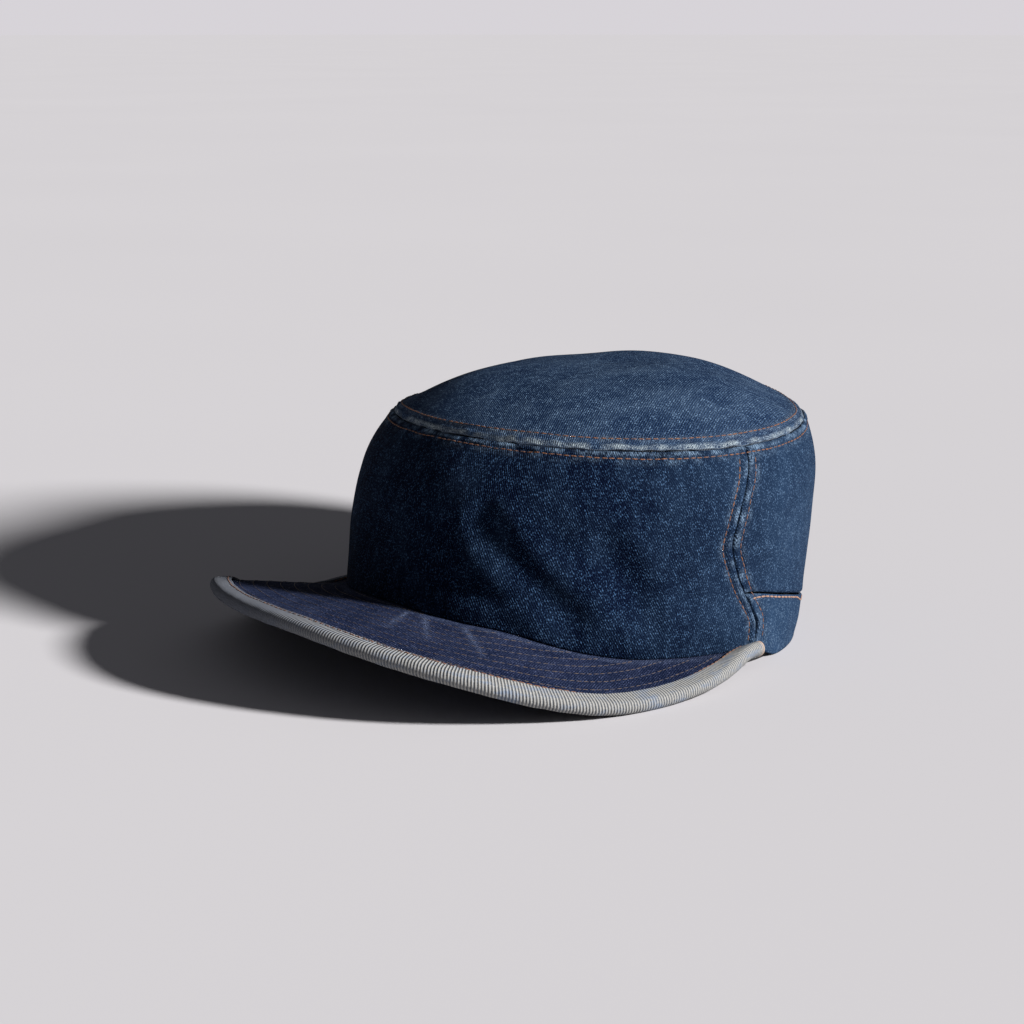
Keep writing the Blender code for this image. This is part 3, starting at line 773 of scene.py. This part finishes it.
COPPER = thread("copper_thread", (0.200, 0.085, 0.040, 1.0), (0.090, 0.058, 0.060, 1.0))
ROSE = thread("rubbed_thread", (0.330, 0.190, 0.135, 1.0), (0.260, 0.180, 0.150, 1.0))
MUTED = thread("muted_thread", (0.095, 0.066, 0.050, 1.0), (0.028, 0.034, 0.062, 1.0))

walls = tree_of(front, back, band)
tops = tree_of(top)

row = []
for degrees in range(361):
    turn = math.radians(degrees)
    start = Vector(((TOP_HALF_WIDTH - STITCH_ABOVE) * math.sin(turn),
                    top_middle - (TOP_HALF_LENGTH - STITCH_ABOVE) * math.cos(turn), ABOVE_ALL))
    row.append(drop_on(tops, start, DOWN))
sew("stitches_top_rim", [[spot for spot in row if spot]], COPPER)


def wall_spot(turn_degrees, height):
    """Place and normal on the outside of the wall, where its outer face is met."""
    out = Vector((math.sin(math.radians(turn_degrees)), -math.cos(math.radians(turn_degrees)), 0))
    spot = drop_on(walls, Vector((0, crown_middle, height)) + out * OUTSIDE_ALL, -out)
    return spot if spot and spot[1].dot(out) > FACING_OUT else None


# Searched downwards, until a place is far enough from the groove along the cloth
row = []
for degrees in range(361):
    for down in np.arange(0.0012, 0.0060, 0.0002):
        spot = wall_spot(degrees, SEAM_HEIGHT + SEAM_WAVE * math.cos(2 * math.radians(degrees)) - down)
        if spot and seam_distance(np.array([spot[0]]))[0] >= STITCH_BELOW:
            row.append(spot)
            break
sew("stitches_wall_rim", [row], COPPER)

rows = []
for hand in (-1, 1):
    for offset in SIDE_ROWS:
        path = []
        for height in np.arange(side_heights[0] + SIDE_START, SEAM_HEIGHT - STITCH_BELOW, ROW_STEP):
            seam = np.interp(height, side_heights, side_turns) + math.degrees(offset / SEAM_RADIUS)
            path.append(wall_spot(hand * seam, height))
        rows.append([spot for spot in path if spot])
sew("stitches_side_seams", rows, COPPER)

band_places = node_places("back_band")
band_turns, band_heights = highest_by(round_turn(band_places) % 360.0, band_places[:, 2],
                                      BAND_STRIP)
# A median of five strips leaves out those without a point on the upper edge
near_heights = [band_heights[max(number - 2, 0):number + 3]
                for number in range(len(band_heights))]
band_heights = np.array([np.median(heights) for heights in near_heights])
path = [wall_spot(degrees, np.interp(degrees, band_turns, band_heights) - BELOW_FOLD)
        for degrees in np.arange(band_turns[0] + 2, band_turns[-1] - 2, 1.0)]
sew("stitches_back_seam", [[spot for spot in path if spot]], ROSE, BACK_STITCH_WIDTH,
    STITCH_PITCH, BACK_STITCH_LENGTH)

inward = np.stack([-np.gradient(outline[:, 1]), np.gradient(outline[:, 0])], 1)
inward /= np.linalg.norm(inward, axis=1)[:, None]


def edge_row(surfaces, distance, shy):
    """A row at a distance inside the brim's outer edge, on the upper face."""
    path = []
    flat = outline + inward * distance
    clear = beyond_crown(flat) > shy
    for place, free in zip(flat, clear):
        if free:
            path.append(drop_on(surfaces, Vector((place[0], place[1], ABOVE_ALL)), DOWN))
    return [spot for spot in path if spot]


rows = [edge_row(tree_of(brim), FIRST_ROW + ROW_SPACING * number, BRIM_ROW_END)
        for number in range(BRIM_ROWS)]
sew("stitches_brim_rows", [path for path in rows if len(path) > 3], MUTED, BRIM_STITCH_WIDTH)
sew("stitches_binding", [edge_row(tree_of(binding), BINDING_ROW, BINDING_ROW_END)], COPPER)


# The studio: a wide sheet of plain pale paper, one small lamp 0.6 m from the cap, on its left
# and a little behind it, and a weak even fill. The camera looks down slightly on the brim's
# left side.

FLOOR_RADIUS = 30.0
PAPER_SHADES = ((0.490, 0.480, 0.500, 1.0), (0.510, 0.500, 0.520, 1.0))
# The lamp's place is measured from the crown's middle
LAMP_ACROSS = 0.497
LAMP_BEHIND = 0.152
LAMP_HEIGHT = 0.300
LAMP_RADIUS = 0.040
LAMP_COLOUR = (1.0, 0.985, 0.97)
FILL_COLOUR = (0.93, 0.93, 1.0, 1.0)
FILL_STRENGTH = 0.10
BACKDROP = (0.680, 0.655, 0.690, 1.0)

mesh = bmesh.new()
bmesh.ops.create_circle(mesh, cap_ends=True, radius=FLOOR_RADIUS, segments=96)
data = bpy.data.meshes.new("floor")
mesh.to_mesh(data)
mesh.free()
floor = add_object("floor", data)
PAPER, tree, paper = new_material("paper_floor")
place = add_node(tree, "ShaderNodeTexCoord", {}).outputs["Object"]
patch = add_node(tree, "ShaderNodeTexNoise", {"Vector": place, "Scale": 1.6, "Detail": 2.0}).outputs["Fac"]
tree.links.new(mixed(tree, patch, *PAPER_SHADES), paper.inputs["Base Color"])
paper.inputs["Roughness"].default_value = 0.95
paper.inputs["Specular IOR Level"].default_value = 0.0
data.materials.append(PAPER)

KEY_STRENGTH = 163.7

key_data = bpy.data.lights.new("key", "POINT")
key_data.energy = 1.0
key_data.shadow_soft_size = LAMP_RADIUS
key_data.color = LAMP_COLOUR
key_data.use_nodes = True
tree = key_data.node_tree
# Light that doesn't fall off, times the ray's length, makes up for the slant at which it
# meets the floor further out
even = add_node(tree, "ShaderNodeLightFalloff", {"Strength": KEY_STRENGTH}).outputs["Constant"]
distance = add_node(tree, "ShaderNodeLightPath", {}).outputs["Ray Length"]
tree.links.new(reckon(tree, "MULTIPLY", even, distance), tree.nodes["Emission"].inputs["Strength"])
key = add_object("key", key_data)
key.location = (LAMP_ACROSS, crown_middle + LAMP_BEHIND, LAMP_HEIGHT)
key.visible_camera = False

world = bpy.data.worlds.new("fill")
world.use_nodes = True
tree = world.node_tree
fill = tree.nodes["Background"]
fill.inputs["Color"].default_value = FILL_COLOUR
fill.inputs["Strength"].default_value = FILL_STRENGTH
# The camera sees a pale backdrop, which doesn't light the cap
backdrop = add_node(tree, "ShaderNodeBackground", {"Color": BACKDROP, "Strength": 1.0})
seen = add_node(tree, "ShaderNodeLightPath", {}).outputs["Is Camera Ray"]
both = add_node(tree, "ShaderNodeMixShader", {0: seen, 1: fill.outputs[0], 2: backdrop.outputs[0]})
tree.links.new(both.outputs[0], tree.nodes["World Output"].inputs["Surface"])
bpy.context.scene.world = world
bpy.context.scene.view_settings.view_transform = "Standard"

VIEW_TURN = math.radians(48.91)
VIEW_HEIGHT = math.radians(12.68)
VIEW_DISTANCE = 0.92248
AIM_ACROSS = -0.02936
AIM_HEIGHT = 0.04696
FOCAL_PIXELS = 2204.58
PICTURE_PIXELS = 1024.0
SENSOR_WIDTH = 36.0

camera_data = bpy.data.cameras.new("camera")
camera_data.sensor_width = SENSOR_WIDTH
camera_data.lens = FOCAL_PIXELS * SENSOR_WIDTH / PICTURE_PIXELS
camera = add_object("camera", camera_data)
right = Vector((math.cos(VIEW_TURN), math.sin(VIEW_TURN), 0.0))
behind = Vector((math.sin(VIEW_TURN) * math.cos(VIEW_HEIGHT),
                 -math.cos(VIEW_TURN) * math.cos(VIEW_HEIGHT), math.sin(VIEW_HEIGHT)))
upward = behind.cross(right)
aim = right * AIM_ACROSS + Vector((0.0, crown_middle, AIM_HEIGHT))
turn = Matrix((right, upward, behind)).transposed().to_4x4()
camera.matrix_world = Matrix.Translation(aim + behind * VIEW_DISTANCE) @ turn
bpy.context.scene.camera = camera
